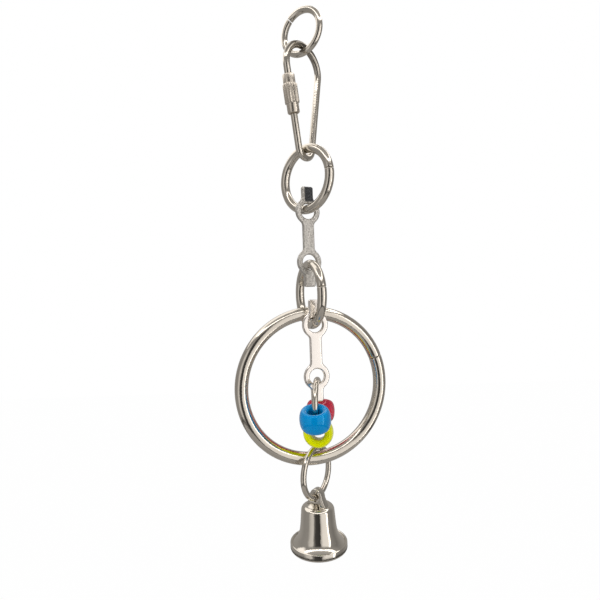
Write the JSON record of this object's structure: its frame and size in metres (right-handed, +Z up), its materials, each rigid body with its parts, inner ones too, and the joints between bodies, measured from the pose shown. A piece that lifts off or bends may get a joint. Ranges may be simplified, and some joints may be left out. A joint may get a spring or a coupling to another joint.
{
  "type": "hanging bird toy",
  "caption": "Hanging bird toy: a ring and a screw-sleeve quick link carry a chain of rings and flat straps, with pony beads inside a large ring and a small bell below.",
  "frame": {"origin": "inner top of the hanging ring, where a hook carries the toy", "axes": "+Z up along the plumb line, +X to the right and -Y to the front"},
  "size_m": [0.0444, 0.0239, 0.1573],
  "materials": {
    "nickel": "polished nickel plate on steel wire",
    "satin_nickel": "satin nickel plate",
    "bell_nickel": "polished nickel plate",
    "blue_plastic": "glossy opaque",
    "yellow_plastic": "glossy, slightly see-through",
    "red_plastic": "glossy, see-through"
  },
  "bodies": {
    "hanging_ring": {"hanging_ring": "nickel"},
    "quick_link": {"quick_link_body": "nickel"},
    "sleeve": {"quick_link_sleeve": "nickel"},
    "upper_ring": {"upper_ring": "nickel"},
    "upper_strap": {"upper_strap_link": "satin_nickel"},
    "middle_ring": {"middle_ring": "nickel"},
    "large_ring": {"large_ring": "nickel"},
    "lower_strap": {"lower_strap_link": "nickel"},
    "bead_ring": {"bead_ring": "nickel"},
    "blue_bead": {"blue_bead": "blue_plastic"},
    "yellow_bead": {"yellow_bead": "yellow_plastic"},
    "red_bead": {"red_bead": "red_plastic"},
    "bell_ring": {"bell_ring": "nickel"},
    "bell": {"bell_shell": "bell_nickel", "clapper_staple": "nickel"},
    "clapper": {"bell_clapper": "nickel"}
  },
  "joints": [
    {"name": "quick_link_swing", "type": "hinge", "parent": "hanging_ring", "child": "quick_link", "pos_m": [0, 0, -0.01155], "axis": [0.8192, -0.5736, 0], "range_deg": [-50, 50]},
    {"name": "sleeve_travel", "type": "slide", "parent": "quick_link", "child": "sleeve", "axis": [0.1164, 0.1248, -0.9853], "range_m": [0, 0.0076]},
    {"name": "upper_ring_swing", "type": "hinge", "parent": "quick_link", "child": "upper_ring", "pos_m": [0, 0, -0.042], "axis": [0.682, 0.7314, 0], "range_deg": [-45, 45]},
    {"name": "upper_strap_swing", "type": "hinge", "parent": "upper_ring", "child": "upper_strap", "pos_m": [0, 0, -0.05713], "axis": [0.7193, -0.6947, 0], "range_deg": [-45, 45]},
    {"name": "middle_ring_swing", "type": "hinge", "parent": "upper_strap", "child": "middle_ring", "pos_m": [0, 0, -0.0746], "axis": [0.9135, 0.4067, 0], "range_deg": [-30, 30]},
    {"name": "large_ring_swing", "type": "hinge", "parent": "middle_ring", "child": "large_ring", "pos_m": [0, 0, -0.09073], "axis": [0.342, -0.9397, 0], "range_deg": [-45, 45]},
    {"name": "lower_strap_swing", "type": "hinge", "parent": "large_ring", "child": "lower_strap", "pos_m": [0, 0, -0.09073], "axis": [0.342, -0.9397, 0], "range_deg": [-14, 14]},
    {"name": "bead_ring_swing", "type": "hinge", "parent": "lower_strap", "child": "bead_ring", "pos_m": [0.00094, -0.00258, -0.10752], "axis": [0.9583, 0.2857, 0], "range_deg": [-13, 13]},
    {"name": "blue_bead_travel", "type": "hinge", "parent": "bead_ring", "child": "blue_bead", "pos_m": [0.00094, -0.00258, -0.11347], "axis": [-0.9903, 0.1392, 0], "range_deg": [0, 43]},
    {"name": "red_bead_travel", "type": "hinge", "parent": "bead_ring", "child": "red_bead", "pos_m": [0.00094, -0.00258, -0.11347], "axis": [0.9903, -0.1392, 0], "range_deg": [0, 53]},
    {"name": "yellow_bead_spin", "type": "hinge", "parent": "bead_ring", "child": "yellow_bead", "pos_m": [0.00085, -0.00324, -0.12107], "axis": [0.1386, 0.9865, -0.0872], "continuous": true},
    {"name": "bell_ring_swing", "type": "hinge", "parent": "large_ring", "child": "bell_ring", "pos_m": [0, 0, -0.1296], "axis": [0.9583, 0.2857, 0], "range_deg": [-35, 35]},
    {"name": "bell_swing", "type": "hinge", "parent": "bell_ring", "child": "bell", "pos_m": [0, 0, -0.14075], "axis": [0.5446, 0.8387, 0], "range_deg": [-40, 40]},
    {"name": "clapper_swing", "type": "hinge", "parent": "bell", "child": "clapper", "pos_m": [0, 0, -0.1463], "axis": [0.5446, 0.8387, 0], "range_deg": [-35, 35]}
  ]
}
